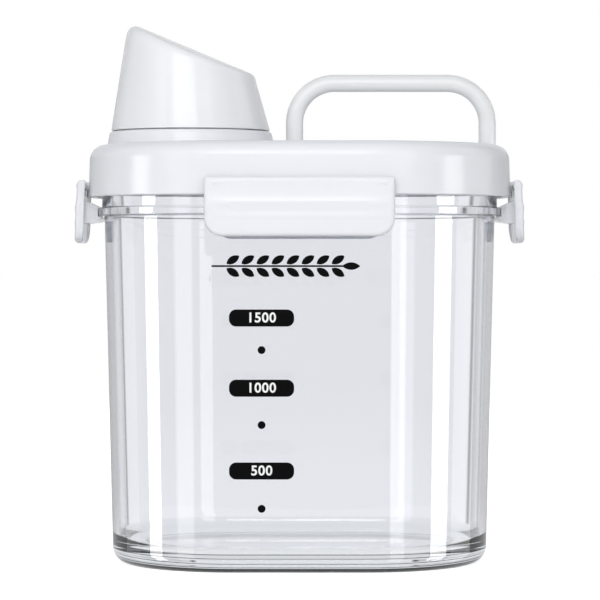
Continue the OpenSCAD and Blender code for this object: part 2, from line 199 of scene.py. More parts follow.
def new_object(name, mesh):
    piece = bpy.data.objects.new(name, mesh)
    bpy.context.scene.collection.objects.link(piece)
    return piece


def make_piece(name, verts, faces):
    """A mesh object from millimetre points, with its faces turned outwards."""
    mesh = bpy.data.meshes.new(name)
    bm = bmesh.new()
    made = [bm.verts.new(Vector(v) * MM) for v in verts]
    for face in faces:
        bm.faces.new([made[i] for i in face])
    bmesh.ops.remove_doubles(bm, verts=bm.verts, dist=1e-7)
    bmesh.ops.recalc_face_normals(bm, faces=bm.faces)
    bm.to_mesh(mesh)
    bm.free()
    return new_object(name, mesh)


def ring_faces(rings, size, closed_rings=False):
    """Quads between rings of size points each."""
    faces = []
    last = rings if closed_rings else rings - 1
    for k in range(last):
        a, b = k * size, ((k + 1) % rings) * size
        for i in range(size):
            j = (i + 1) % size
            faces.append((a + i, a + j, b + j, b + i))
    return faces


def loft(name, rings):
    """Joins rings of points, each with as many points, and closes both ends."""
    size = len(rings[0])
    verts = [p for ring in rings for p in ring]
    faces = ring_faces(len(rings), size)
    faces.append(tuple(range(size)))
    faces.append(tuple(range(len(verts) - size, len(verts))))
    return make_piece(name, verts, faces)


def closed_loft(name, rings):
    """Joins rings of points, and the last of them to the first."""
    verts = [p for ring in rings for p in ring]
    return make_piece(name, verts, ring_faces(len(rings), len(rings[0]), True))


def plan_stations():
    """Corner centre and direction of each station around the plan."""
    stations = []
    for quarter, (sx, sy) in enumerate(((1, 1), (-1, 1), (-1, -1), (1, -1))):
        for k in range(PLAN_STEPS + 1):
            angle = math.radians(90 * (quarter + k / PLAN_STEPS))
            stations.append((sx * CORNER.x, sy * CORNER.y, math.cos(angle), math.sin(angle)))
    return stations


def sweep_plan(name, profile):
    """Sweeps a profile of [distance out, height] around the plan, and closes both its ends."""
    stations = plan_stations()
    return loft(name, [[(cx + out * dx, cy + out * dy, z) for cx, cy, dx, dy in stations]
                       for out, z in profile])


def spin(name, profile, centre_x, sides):
    """Turns a closed profile of [radius, height] about an upright axis at y 0."""
    angles = [2 * math.pi * i / sides for i in range(sides)]
    return closed_loft(name, [[(centre_x + radius * math.cos(a), radius * math.sin(a), z) for a in angles]
                              for radius, z in profile])


def rod(name, start, end, radius, sides=48):
    """A straight round rod between two points."""
    start, end = Vector(start), Vector(end)
    turn = (end - start).to_track_quat("Z", "Y")
    rings = []
    for at in (start, end):
        rings.append([at + turn @ Vector((radius * math.cos(2 * math.pi * i / sides),
                                          radius * math.sin(2 * math.pi * i / sides), 0))
                      for i in range(sides)])
    return loft(name, rings)


def combine(piece, tool, operation):
    """Adds the tool to a piece or cuts it away, then deletes the tool."""
    modifier = piece.modifiers.new("combine", "BOOLEAN")
    modifier.operation = operation
    modifier.solver = "EXACT"
    modifier.object = tool
    bpy.context.view_layer.update()
    shape = piece.evaluated_get(bpy.context.evaluated_depsgraph_get())
    mesh = bpy.data.meshes.new_from_object(shape)
    piece.modifiers.clear()
    old = piece.data
    piece.data = mesh
    mesh.name = piece.name
    bpy.data.meshes.remove(old)
    bpy.data.objects.remove(tool)
    return piece


def join(piece, tool):
    return combine(piece, tool, "UNION")


def cut(piece, tool):
    return combine(piece, tool, "DIFFERENCE")


def soften(piece, sharp=40):
    """Smooth shading, with edges of more than sharp degrees kept crisp and large faces kept flat."""
    bm = bmesh.new()
    bm.from_mesh(piece.data)
    for face in bm.faces:
        face.smooth = True
    for edge in bm.edges:
        if len(edge.link_faces) == 2:
            edge.smooth = edge.calc_face_angle(0) < math.radians(sharp)
    bm.to_mesh(piece.data)
    bm.free()
    weighted = piece.modifiers.new("normals", "WEIGHTED_NORMAL")
    weighted.keep_sharp = True
    return piece


def finish_piece(piece, body, material, slot, *nodes):
    piece.data.materials.clear()
    piece.data.materials.append(material)
    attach(piece, body)
    if nodes:
        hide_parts(*nodes)
    return piece


# ---- materials ----

PLASTIC_IOR = 1.49


def new_material(name):
    material = bpy.data.materials.new(name)
    material.use_nodes = True
    nodes, links = material.node_tree.nodes, material.node_tree.links
    return material, nodes, links, nodes["Principled BSDF"]


def surface_noise(nodes, links, scale, detail=3.0):
    """Noise fixed to the object, in its own coordinates."""
    place = nodes.new("ShaderNodeTexCoord")
    noise = nodes.new("ShaderNodeTexNoise")
    noise.inputs["Scale"].default_value = scale
    noise.inputs["Detail"].default_value = detail
    links.new(place.outputs["Object"], noise.inputs["Vector"])
    return noise.outputs["Fac"]


def uneven_gloss(nodes, links, shader, scale, least, most):
    """Roughness that wanders between two values."""
    spread = nodes.new("ShaderNodeMapRange")
    spread.inputs["To Min"].default_value = least
    spread.inputs["To Max"].default_value = most
    links.new(surface_noise(nodes, links, scale), spread.inputs["Value"])
    links.new(spread.outputs["Result"], shader.inputs["Roughness"])


def relief(nodes, links, shader, height, strength, distance):
    """Bump from a height, at most distance metres deep."""
    bump = nodes.new("ShaderNodeBump")
    bump.inputs["Strength"].default_value = strength
    bump.inputs["Distance"].default_value = distance
    links.new(height, bump.inputs["Height"])
    links.new(bump.outputs["Normal"], shader.inputs["Normal"])


def moulded_plastic(name, colour, rough, grain=900.0, bump=0.02, through=0.0, sheen=0.5):
    """Moulded plastic: a faint mottle in colour and gloss, and a very fine grain."""
    material, nodes, links, shader = new_material(name)
    darker = 0.985
    ramp = nodes.new("ShaderNodeValToRGB")
    ramp.color_ramp.elements[0].position = 0.35
    ramp.color_ramp.elements[1].position = 0.65
    ramp.color_ramp.elements[0].color = [c * darker for c in colour] + [1]
    ramp.color_ramp.elements[1].color = list(colour) + [1]
    links.new(surface_noise(nodes, links, 18.0), ramp.inputs["Fac"])
    links.new(ramp.outputs["Color"], shader.inputs["Base Color"])
    uneven_gloss(nodes, links, shader, 60.0, rough * 0.85, rough * 1.15)
    relief(nodes, links, shader, surface_noise(nodes, links, grain, 2.0), bump, 0.0002)
    shader.inputs["IOR"].default_value = PLASTIC_IOR
    shader.inputs["Specular IOR Level"].default_value = sheen
    shader.inputs["Subsurface Weight"].default_value = through
    shader.inputs["Subsurface Radius"].default_value = (1.0, 1.0, 1.0)
    shader.inputs["Subsurface Scale"].default_value = 0.002
    return material


def clear_plastic(name):
    """Thick clear plastic: colour by depth, and a faint ripple left by the mould."""
    material, nodes, links, shader = new_material(name)
    shader.inputs["Base Color"].default_value = (0.928, 0.937, 0.955, 1)
    shader.inputs["Transmission Weight"].default_value = 1.0
    shader.inputs["IOR"].default_value = PLASTIC_IOR
    relief(nodes, links, shader, surface_noise(nodes, links, 26.0, 1.0), 0.03, 0.0004)
    uneven_gloss(nodes, links, shader, 40.0, 0.0, 0.02)
    depth = nodes.new("ShaderNodeVolumeAbsorption")
    depth.inputs["Color"].default_value = (0.80, 0.82, 0.84, 1)
    depth.inputs["Density"].default_value = 7.0
    links.new(depth.outputs["Volume"], nodes["Material Output"].inputs["Volume"])
    return material


def printed_ink(name, colour):
    """Matt ink with a speckled gloss."""
    material, nodes, links, shader = new_material(name)
    uneven_gloss(nodes, links, shader, 1500.0, 0.35, 0.6)
    shader.inputs["Base Color"].default_value = list(colour) + [1]
    shader.inputs["Specular IOR Level"].default_value = 0.05
    return material


WHITE = moulded_plastic("white_plastic", (0.80, 0.81, 0.845), rough=0.2, sheen=0.24)
CUP_WHITE = moulded_plastic("cup_plastic", (0.82, 0.825, 0.845), rough=0.16, through=0.15, sheen=0.25)
LINER_WHITE = moulded_plastic("liner_plastic", (0.78, 0.79, 0.82), rough=0.3)
HANDLE_WHITE = moulded_plastic("handle_plastic", (0.78, 0.785, 0.79), rough=0.32, grain=1400.0, bump=0.05)
SILICONE = moulded_plastic("milky_silicone", (0.80, 0.82, 0.84), rough=0.5, through=0.3)
CLEAR = clear_plastic("clear_plastic")
BLACK = printed_ink("black_ink", (0.002, 0.002, 0.0025))
NUMERAL = printed_ink("white_ink", (0.86, 0.86, 0.86))

# ---- container body ----


def make_body():
    """The clear box, from the middle of its floor over the rim to the middle of its foot."""
    foot_in = wall_r(0) - FOOT_W
    profile = rounded([
        (PLAN_MIDDLE, FLOOR_Z, 0),
        (wall_r(FLOOR_Z) - BODY_WALL, FLOOR_Z, FLOOR_ROUND),
        (wall_r(BODY_H) - BODY_WALL, BODY_H, RIM_ROUND),
        (RIM_R, BODY_H, RIM_ROUND),
        (RIM_R, LEDGE_Z + LEDGE_T, 0.35),
        (LEDGE_R, LEDGE_Z + LEDGE_T, LEDGE_ROUND),
        (LEDGE_R, LEDGE_Z, LEDGE_ROUND),
        (wall_r(LEDGE_Z), LEDGE_Z, LEDGE_ROUND),
        (wall_r(0), 0, BASE_ROUND),
        (foot_in, 0, 0.6),
        (foot_in, FOOT_HOLLOW, 0.8),
        (PLAN_MIDDLE, FOOT_HOLLOW, 0),
    ], 7.5)
    piece = soften(sweep_plan("clear_body", profile), 50)
    return finish_piece(piece, "container", CLEAR, "clear_plastic", "container_body")


make_body()

# ---- lid ----


def track_outline(width, grow):
    """Outline of the U-shaped trough, seen from above."""
    outer = HANDLE_BEND + width / 2 + grow
    inner = HANDLE_BEND - width / 2 - grow
    far = LEG_X - HANDLE_BEND
    bend_y = HANDLE_REACH - HANDLE_BEND
    start_y = -width / 2 - grow
    points = []
    for radius, order in ((outer, 1), (inner, -1)):
        side = [(-far - radius, start_y)]
        for centre, first in ((-far, 180), (far, 90)):
            for k in range(13):
                angle = math.radians(first - 90 * k / 12)
                side.append((centre + radius * math.cos(angle), bend_y + radius * math.sin(angle)))
        side.append((far + radius, start_y))
        points += side[::order]
    return [(HANDLE_X + x, y) for x, y in points]


def track_solid(name, width, levels):
    """A solid of the trough's outline, grown by a given amount at each level."""
    return loft(name, [[(x, y, z) for x, y in track_outline(width, grow)] for z, grow in levels])


# For each side: its turn about the middle, how far out its corner centres lie, and
# how far along it they lie
SIDES = {
    "front": (math.radians(-90), CORNER.y, CORNER.x),
    "back": (math.radians(90), CORNER.y, CORNER.x),
    "left": (math.radians(180), CORNER.x, CORNER.y),
    "right": (0.0, CORNER.x, CORNER.y),
}


def turned(side, away, along, z):
    """A point given by its distance away from the middle and along the side."""
    turn = SIDES[side][0]
    c, s = math.cos(turn), math.sin(turn)
    return Vector((away * c - along * s, away * s + along * c, z))


def straight_point(side, out, along, z):
    """A point given by its distance out from the flat stretch of the lid's skirt."""
    return turned(side, SIDES[side][1] + LID_R + out, along, z)


def side_point(side, out, along, z):
    """A point given by its distance out from the lid's skirt, following the plan's curve."""
    centre, straight = SIDES[side][1:]
    past = max(0.0, abs(along) - straight)
    reach = LID_R + out
    return turned(side, centre + math.sqrt(max(reach * reach - past * past, 0.0)), along, z)


def latch_sizes(side):
    """A latch's width, its lowest and highest points, and how far its ears lie from its middle."""
    low, high = box_mm(side + "_latch")
    long_side = side in ("front", "back")
    width = (high - low).x if long_side else (high - low).y
    ear = width * (0.27 if long_side else 0.21)
    return width, low.z, high.z, ear


def hinge_rod(name, side, start, end, radius):
    """A rod on a latch's hinge axis."""
    return rod(name, straight_point(side, AXIS_OUT, start, AXIS_Z),
               straight_point(side, AXIS_OUT, end, AXIS_Z), radius)


def side_block(name, side, out_range, along, half, z_range):
    """A block of two half widths at one place along a side."""
    near, far = out_range
    corners = ((near, -half), (far, -half), (far, half), (near, half))
    return loft(name, [[straight_point(side, out, along + a, z) for out, a in corners] for z in z_range])


def make_ear(side, along):
    """One of the two ears on the lid that hold a latch's pin."""
    ear = hinge_rod("ear", side, along - EAR_W / 2, along + EAR_W / 2, EAR_R)
    ear = join(ear, side_block("arm", side, (-LID_WALL / 2, AXIS_OUT), along, EAR_W / 2,
                               (AXIS_Z - EAR_R, AXIS_Z + EAR_RISE)))
    return cut(ear, hinge_rod("bore", side, along - EAR_W, along + EAR_W, PIN_R + OVER))


def make_lid():
    """The lid's shell, with the ears for the latches, the handle's trough and the spout's hole."""
    under = LID_TOP - LID_PLATE
    profile = rounded([
        (PLAN_MIDDLE, under, 0),
        (skirt_r(under) - LID_WALL, under, LID_EDGE - LID_PLATE),
        (LID_R - LID_WALL, LID_Z, 0.5),
        (LID_R, LID_Z, LID_LIP),
        (skirt_r(LID_TOP), LID_TOP, LID_EDGE),
        (PLAN_MIDDLE, LID_TOP, 0),
    ], 7.5)
    lid = sweep_plan("lid_shell", profile)
    width = 2 * (BAR_R + TROUGH_SIDE)
    lid = join(lid, track_solid("trough", width, [(TROUGH_Z - TROUGH_WALL, TROUGH_WALL),
                                                 (under + 1, TROUGH_WALL)]))
    for side in SIDES:
        ear_at = latch_sizes(side)[3]
        for along in (-ear_at, ear_at):
            lid = join(lid, make_ear(side, along))
    levels = [(TROUGH_Z, -0.6), (TROUGH_Z + 0.2, -0.2), (TROUGH_Z + 0.6, 0.0), (LID_TOP - LID_LIP, 0.0)]
    for k in range(1, 7):
        angle = math.radians(15 * k)
        levels.append((LID_TOP - LID_LIP * (1 - math.sin(angle)), LID_LIP * (1 - math.cos(angle))))
    levels.append((LID_TOP + 1, LID_LIP))
    lid = cut(lid, track_solid("trough_cut", width, levels))
    hole_r = NECK_R + 0.2
    hole_low, hole_high = under - 8, LID_TOP + 5
    lid = cut(lid, rod("spout_hole", (SPOUT_X, 0, hole_low), (SPOUT_X, 0, hole_high), hole_r, 96))
    for s in (-1, 1):
        wall_x = HANDLE_X + s * (LEG_X + BAR_R)
        lid = cut(lid, rod("socket", (wall_x - STUD_LEN, 0, PIVOT_Z), (wall_x + STUD_LEN, 0, PIVOT_Z),
                           STUD_R + OVER))
    return finish_piece(soften(lid), "container", WHITE, "white_plastic", "lid_cover")


make_lid()

# ---- latches ----


def latch_ring(side, width, low, top, inset, out_at):
    """Ring of points around a latch's outline, moved in by inset, each at out_at(height)."""
    least = 0.25
    low_corner = max(LATCH_LOW_CORNER - inset, least)
    top_corner = max(LATCH_TOP_CORNER - inset, least)
    half = width / 2 - inset
    z0, z1 = low + inset, top - inset
    across, upright, corner = 30, 8, 8
    points = []

    def line(a, b, count):
        for k in range(count):
            points.append((a[0] + (b[0] - a[0]) * k / count, a[1] + (b[1] - a[1]) * k / count))

    def arc(cx, cz, radius, first):
        for k in range(corner):
            angle = math.radians(first + 90 * k / corner)
            points.append((cx + radius * math.cos(angle), cz + radius * math.sin(angle)))

    line((-half + low_corner, z0), (half - low_corner, z0), across)
    arc(half - low_corner, z0 + low_corner, low_corner, -90)
    line((half, z0 + low_corner), (half, z1 - top_corner), upright)
    arc(half - top_corner, z1 - top_corner, top_corner, 0)
    line((half - top_corner, z1), (-half + top_corner, z1), across)
    arc(-half + top_corner, z1 - top_corner, top_corner, 90)
    line((-half, z1 - top_corner), (-half, z0 + low_corner), upright)
    arc(-half + low_corner, z0 + low_corner, low_corner, 180)
    return [side_point(side, out_at(z), x, z) for x, z in points]


def latch_face_out(z, low, top):
    """Distance out of a latch's front face, with its soft ridges."""
    share = (top - z) / (top - low)
    out = PLATE_TOP_OUT + (PLATE_LOW_OUT - PLATE_TOP_OUT) * share
    ridge_rise = 0.30
    ridge = ridge_rise * math.exp(-((share - 0.44) / 0.06) ** 2)
    crease = 0.18 * math.exp(-((share - 0.66) / 0.04) ** 2)
    hollow = 0.25 * math.exp(-((share - 0.16) / 0.2) ** 2)
    return out + ridge + crease - hollow - ridge_rise


def latch_plate(side, width, low, top):
    """The latch's plate, from the middle of its back over its soft edge to the middle of its face."""
    def face(z):
        return latch_face_out(z, low, top)

    def back(z):
        return PLATE_TOP_OUT - LATCH_T + (PLATE_LOW_OUT - PLATE_TOP_OUT) * (top - z) / (top - low)

    def ring(inset, out_at):
        return latch_ring(side, width, low, top, inset, out_at)

    back_steps, bevel_steps, face_steps = 3, 6, 12
    span = LATCH_MIDDLE - LATCH_BACK_BEVEL
    rings = [ring(LATCH_MIDDLE - span * k / back_steps, back) for k in range(back_steps)]
    rings.append(ring(LATCH_BACK_BEVEL, back))
    rings.append(ring(0, lambda z: back(z) + LATCH_BACK_BEVEL))
    for k in range(bevel_steps + 1):
        angle = math.radians(90 * k / bevel_steps)
        drop = LATCH_BEVEL * (1 - math.sin(angle))
        rings.append(ring(LATCH_BEVEL * (1 - math.cos(angle)), lambda z: face(z) - drop))
    for k in range(1, face_steps + 1):
        rings.append(ring(LATCH_BEVEL + (LATCH_MIDDLE - LATCH_BEVEL) * k / face_steps, face))
    return loft("latch_plate", rings)


def latch_claw(side, half):
    """The hook that grips under the body's ledge and joins the plate above it."""
    ledge_out = LEDGE_R - LID_R
    tip_out = ledge_out - 1.2
    plate_out = PLATE_LOW_OUT - LATCH_T / 2
    profile = rounded([
        (tip_out, LEDGE_Z - 0.3, 0.25),
        (ledge_out + 0.3, LEDGE_Z - 0.3, 0),
        (ledge_out + 0.3, LEDGE_Z + LEDGE_T + 0.3, 0),
        (PLATE_TOP_OUT - LATCH_T / 2, LID_Z - 0.6, 0),
        (plate_out, LEDGE_Z - 3.3, 0),
        (ledge_out + 0.4, LEDGE_Z - 2.3, 0.6),
        (tip_out, LEDGE_Z - 1.5, 0.4),
    ])
    steps = 24
    stations = [-half + 2 * half * k / steps for k in range(steps + 1)]
    return loft("claw", [[side_point(side, out, along, z) for out, z in profile] for along in stations])


def make_latch(side):
    """A latch: plate, claw and hinge barrel, with slots in which the lid's ears turn."""
    width, low, top, ear_at = latch_sizes(side)
    half = width / 2 - BARREL_INSET
    piece = join(latch_plate(side, width, low, top), latch_claw(side, half))
    piece = join(piece, hinge_rod("barrel", side, -half, half, BARREL_R))
    piece = cut(piece, hinge_rod("pin_bore", side, -half, half, PIN_R + OVER))
    reach = EAR_W / 2 + EAR_GAP
    slot_in = -2
    slot_out = AXIS_OUT + AXIS_DROP * math.tan(SWING_PAST_LEVEL) + EAR_RISE + EAR_GAP
    for along in (-ear_at, ear_at):
        piece = cut(piece, hinge_rod("slot", side, along - reach, along + reach, EAR_R + EAR_GAP))
        piece = cut(piece, side_block("slot", side, (slot_in, AXIS_OUT), along, reach,
                                      (AXIS_Z - 4, AXIS_Z + 0.5)))
        piece = cut(piece, side_block("slot", side, (slot_in, slot_out), along, reach,
                                      (AXIS_Z - EAR_GAP, AXIS_Z + 2 * AXIS_DROP)))
    piece.name = side + "_latch_plate"
    return finish_piece(soften(piece), side + "_latch", WHITE, "white_plastic", side + "_latch")


for side_name in SIDES:
    make_latch(side_name)

# ---- spout and cup ----


def edge_h(r, t, drop, crown):
    """Height at which the leaning cone of radius r at the seam meets the slanted end, at angle t."""
    level_h = CUP_H - drop - crown * math.sin(t) ** 2 - CUP_SLOPE * r * math.cos(t)
    return level_h / (1 - CUP_SLOPE * (CUP_LEAN + CUP_TAPER * math.cos(t)))


def cone_pt(r, t, h):
    """A point on that cone, at height h above the seam."""
    radius = r - CUP_TAPER * h
    return Vector((SPOUT_X - CUP_LEAN * h + radius * math.cos(t), radius * math.sin(t), SEAM_Z + h))


def edge_round(t):
    """How far the rounding of the slanted end reaches, from its high side to its low side."""
    high_side, low_side = 1.2, 7.0
    return high_side + (low_side - high_side) * ((1 - math.cos(t)) / 2) ** 1.5


def end_pt(r, t, g, drop, crown):
    """A point on the crowned slanted end, at share g of the way from its middle to its edge."""
    edge = cone_pt(r, t, edge_h(r, t, drop, crown))
    mid_x = SPOUT_X - CUP_LEAN * CUP_H
    x = mid_x + g * (edge.x - mid_x)
    z = SEAM_Z + CUP_H - drop - CUP_SLOPE * (x - SPOUT_X) - crown * (g * math.sin(t)) ** 2
    return Vector((x, g * edge.y, z))


def around_cone(point):
    """The ring of points that point(angle) gives."""
    return [point(2 * math.pi * i / CONE_SIDES) for i in range(CONE_SIDES)]


def cone_wall(r, h_low, drop, crown):
    """Rings of the cup's surface from its open end to the middle of its closed end."""
    rows, bends = 10, 8

    def wall(t, share):
        return cone_pt(r, t, h_low + (edge_h(r, t, drop, crown) - edge_round(t) - h_low) * share)

    def bend(t, u):
        """A quadratic curve from the wall to the end."""
        size = edge_round(t)
        top = edge_h(r, t, drop, crown)
        a, b, c = cone_pt(r, t, top - size), cone_pt(r, t, top), end_pt(r, t, 1 - size / r, drop, crown)
        return (1 - u) ** 2 * a + 2 * u * (1 - u) * b + u * u * c

    rings = [around_cone(lambda t: wall(t, k / rows)) for k in range(rows)]
    for k in range(bends + 1):
        rings.append(around_cone(lambda t: bend(t, k / bends)))
    for k in range(1, 11):
        inwards = 1 - k / 10.5
        rings.append(around_cone(lambda t: end_pt(r, t, (1 - edge_round(t) / r) * inwards, drop, crown)))
    return rings


def make_cup():
    """The measuring cup, upside down over the spout, with a rounded lip at its open end."""
    lip = 0.45
    outside = cone_wall(CUP_R, lip, 0, CUP_CROWN)
    inside = cone_wall(CUP_R - CUP_WALL, lip, CUP_WALL, CUP_CROWN)
    lip_rings = []
    for k in range(5):
        angle = math.radians(180 * k / 4)
        radius = CUP_R - CUP_WALL / 2 - CUP_WALL / 2 * math.cos(angle)
        lip_rings.append(around_cone(lambda t: cone_pt(radius, t, lip * (1 - math.sin(angle)))))
    rings = inside[::-1] + lip_rings + outside
    rings = [[p + Vector((0, 0, CUP_GAP)) for p in ring] for ring in rings]
    piece = soften(loft("cup_shell", rings), 50)
    return finish_piece(piece, "cup", CUP_WHITE, "cup_plastic", "measuring_cup")


def pouring_tube(outer, inner):
    """The slanted tube, up its outside, over its rounded lip and down its inside."""
    lip, root, rows = 0.6, -1.0, 8
    middle, half = (outer + inner) / 2, SPOUT_WALL / 2

    def wall_h(r, t):
        return edge_h(r, t, MOUTH_DROP, 0) - lip

    def wall_pt(r, t, share):
        return cone_pt(r, t, root + (wall_h(r, t) - root) * share)

    def lip_pt(t, angle):
        radius = middle + half * math.cos(angle)
        return cone_pt(radius, t, wall_h(radius, t) + lip * math.sin(angle))

    rings = [around_cone(lambda t: wall_pt(outer, t, k / rows)) for k in range(rows + 1)]
    rings += [around_cone(lambda t: lip_pt(t, math.pi * k / rows)) for k in range(1, rows)]
    rings += [around_cone(lambda t: wall_pt(inner, t, 1 - k / rows)) for k in range(rows + 1)]
    return closed_loft("spout_tube", rings)


def make_spout():
    """Collar, and the slanted pouring tube that the cup covers."""
    liner_z = BODY_H + 3.0
    snap_z = LID_TOP - LID_PLATE - 0.2
    snap_r = NECK_R + 0.9
    shelf_z = SEAM_Z - 2
    collar_in = COLLAR_R - 2
    outer, inner = NECK_R, NECK_R - SPOUT_WALL
    collar = rounded([
        (inner, liner_z, 0.3),
        (outer, liner_z, 0.3),
        (outer, snap_z - 1, 0.2),
        (snap_r, snap_z - 1, 0.4),
        (snap_r, snap_z, 0.3),
        (outer, snap_z, 0),
        (outer, shelf_z, 0.5),
        (collar_in, shelf_z, 0.5),
        (collar_in, LID_TOP, 0),
        (COLLAR_R, LID_TOP, 0.25),
        (COLLAR_R - 1.1, SEAM_Z, 1.3),
        (inner, SEAM_Z, 0),
    ], 10)
    piece = join(spin("spout_collar", collar, SPOUT_X, CONE_SIDES), pouring_tube(outer, inner))
    return finish_piece(soften(piece), "container", WHITE, "white_plastic", "pour_spout")


make_cup()
make_spout()

# ---- carry handle ----


def make_handle():
    """One round bar swept along its bent centre line, with rounded ends and pivot studs."""
    sides, bend_steps, end_steps = 48, 18, 8
    up, down = Vector((0, 0, 1)), Vector((0, 0, -1))
    far = LEG_X - HANDLE_BEND
    route = [(-LEG_X, PIVOT_Z)]
    for centre, first in ((-far, 180), (far, 90)):
        for k in range(bend_steps + 1):
            angle = math.radians(first - 90 * k / bend_steps)
            route.append((centre + HANDLE_BEND * math.cos(angle),
                          GRIP_Z - HANDLE_BEND + HANDLE_BEND * math.sin(angle)))
    route.append((LEG_X, PIVOT_Z))

    def ring(at, along, radius):
        across = Vector((along.z, 0, -along.x))
        return [at + radius * (math.cos(a) * across + math.sin(a) * Vector((0, 1, 0)))
                for a in (2 * math.pi * i / sides for i in range(sides))]

    def end_rings(at, along):
        """The rounded end of a leg, outwards; it stops short of its pole."""
        angles = [math.radians(min(90 * k / end_steps, 86)) for k in range(1, end_steps + 1)]
        return [ring(at + BAR_R * math.sin(a) * down, along, BAR_R * math.cos(a)) for a in angles]

    points = [Vector((HANDLE_X + x, 0, z)) for x, z in route]
    rings = end_rings(points[0], up)[::-1] + [ring(at, up, BAR_R) for at in points[:2]]
    for before, at, after in zip(points[1:], points[2:-2], points[3:]):
        rings.append(ring(at, (after - before).normalized(), BAR_R))
    rings += [ring(at, down, BAR_R) for at in points[-2:]] + end_rings(points[-1], down)
    piece = loft("handle_bar", rings)
    for s in (-1, 1):
        x = HANDLE_X + s * LEG_X
        stud_end = x + s * (BAR_R + STUD_LEN - OVER)
        piece = join(piece, rod("stud", (x, 0, PIVOT_Z), (stud_end, 0, PIVOT_Z), STUD_R))
    return finish_piece(soften(piece), "handle", HANDLE_WHITE, "white_plastic", "carry_handle")


make_handle()

# ---- liner, seals, pins and prints keep their solids ----

CARRIED = {"lid_liner": LINER_WHITE, "lid_gasket": SILICONE, "spout_seal": SILICONE, "level_marks": BLACK,
           "grain_print": BLACK}
CARRIED.update({side + "_hinge_pin": LINER_WHITE for side in SIDES})
for node_name, material in CARRIED.items():
    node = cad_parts[node_name]
    node.data.materials.clear()
    node.data.materials.append(material)


def make_numeral(words, z):
    """White numerals that lie on a printed plate, following the wall's slope."""
    curve = bpy.data.curves.new("numeral", "FONT")
    curve.body = words
    curve.size = NUMERAL_H * MM
    curve.align_x = "CENTER"
    curve.align_y = "CENTER"
    curve.offset = NUMERAL_BOLD * MM
    curve.extrude = NUMERAL_T * MM
    curve.space_character = 1.08
    text = new_object("numeral_" + words, curve)
    bpy.context.view_layer.update()
    mesh = bpy.data.meshes.new_from_object(text.evaluated_get(bpy.context.evaluated_depsgraph_get()))
    bpy.data.objects.remove(text)
    lean = math.atan(DRAFT)
    place = Matrix.Translation(Vector((NUMERAL_X, -(CORNER.y + wall_r(z) + PLATE_T), z)) * MM)
    mesh.transform(place @ Matrix.Rotation(math.radians(90) + lean, 4, "X"))
    piece = new_object("numeral_" + words, mesh)
    return finish_piece(piece, "container", NUMERAL, "black_ink")


for words, height in NUMERALS.items():
    make_numeral(words, height)

# ---- stage, lights and camera; the stage and the lights in metres ----

PURE_WHITE = (1, 1, 1, 1)
FLOOR_REACH = 20.0
FLOOR_GLOW = 0.60
FILL_LIGHT = 0.67
SIDE_GREY = (0.40, 0.41, 0.43, 1)
# Matt surfaces behind clear walls get this instead, because the walls stop the lamps.
INSIDE_LIGHT = 1.5
ROOM_GREY = (0.38, 0.385, 0.395, 1)
FLOOR_WHITE = (0.85, 0.86, 0.87, 1)
# How light the room behind is from left to right, as a clear wall shows it: a
# white backdrop, a dark gap at each side of it, and pale panels beyond.
BACKDROP = ((-1.00, 0.85), (-0.70, 0.60), (-0.26, 0.58), (-0.24, 0.06), (-0.23, 0.06), (-0.21, 0.95),
            (0.165, 0.95), (0.18, 0.10), (0.19, 0.10), (0.205, 0.66), (0.70, 0.60), (1.00, 0.85))
# Where each zone of the world begins and ends, as parts of a ray's direction
SIDE_ZONE = (0.45, 0.85)
TOP_ZONE = (0.30, 0.90)
BACK_ZONE = (-0.10, 0.30)
BACKDROP_EDGE = (0.095, 0.125)


def math_node(nodes, links, operation, *sources):
    node = nodes.new("ShaderNodeMath")
    node.operation = operation
    for socket, source in zip(node.inputs, sources):
        links.new(source, socket)
    return node.outputs["Value"]


def ray_switch(nodes, links, *kinds):
    """1 for a ray of any of these kinds, else 0."""
    path = nodes.new("ShaderNodeLightPath")
    last = path.outputs[kinds[0]]
    for kind in kinds[1:]:
        last = math_node(nodes, links, "MAXIMUM", last, path.outputs[kind])
    return last


def shaders_mixed(nodes, links, share, first, second):
    """The first shader where share is 0, the second where it is 1."""
    blend = nodes.new("ShaderNodeMixShader")
    links.new(share, blend.inputs["Fac"])
    links.new(first, blend.inputs[1])
    links.new(second, blend.inputs[2])
    return blend.outputs["Shader"]


def make_stage():
    """A pale floor that shows as white and keeps the object's shadow; reflections see through it."""
    material, nodes, links, shader = new_material("floor")
    shader.inputs["Base Color"].default_value = (0.8, 0.8, 0.8, 1)
    shader.inputs["Roughness"].default_value = 0.6
    seen = nodes.new("ShaderNodeAddShader")
    glow = nodes.new("ShaderNodeEmission")
    glow.inputs["Color"].default_value = PURE_WHITE
    glow.inputs["Strength"].default_value = FLOOR_GLOW
    links.new(shader.outputs["BSDF"], seen.inputs[0])
    links.new(glow.outputs["Emission"], seen.inputs[1])
    lift = shaders_mixed(nodes, links, ray_switch(nodes, links, "Is Camera Ray"),
                         shader.outputs["BSDF"], seen.outputs["Shader"])
    through = shaders_mixed(nodes, links, ray_switch(nodes, links, "Is Transmission Ray", "Is Glossy Ray"),
                            lift, nodes.new("ShaderNodeBsdfTransparent").outputs["BSDF"])
    links.new(through, nodes["Material Output"].inputs["Surface"])
    mesh = bpy.data.meshes.new("floor")
    r = FLOOR_REACH
    mesh.from_pydata([(-r, -r, 0), (r, -r, 0), (r, r, 0), (-r, r, 0)], [], [(0, 1, 2, 3)])
    mesh.materials.append(material)
    new_object("floor", mesh)


def part_of(nodes, links, source, start, end):
    """0 where the source is at start and 1 where it is at end, and even between."""
    spread = nodes.new("ShaderNodeMapRange")
    spread.inputs["From Min"].default_value = start
    spread.inputs["From Max"].default_value = end
    links.new(source, spread.inputs["Value"])
    return spread.outputs["Result"]


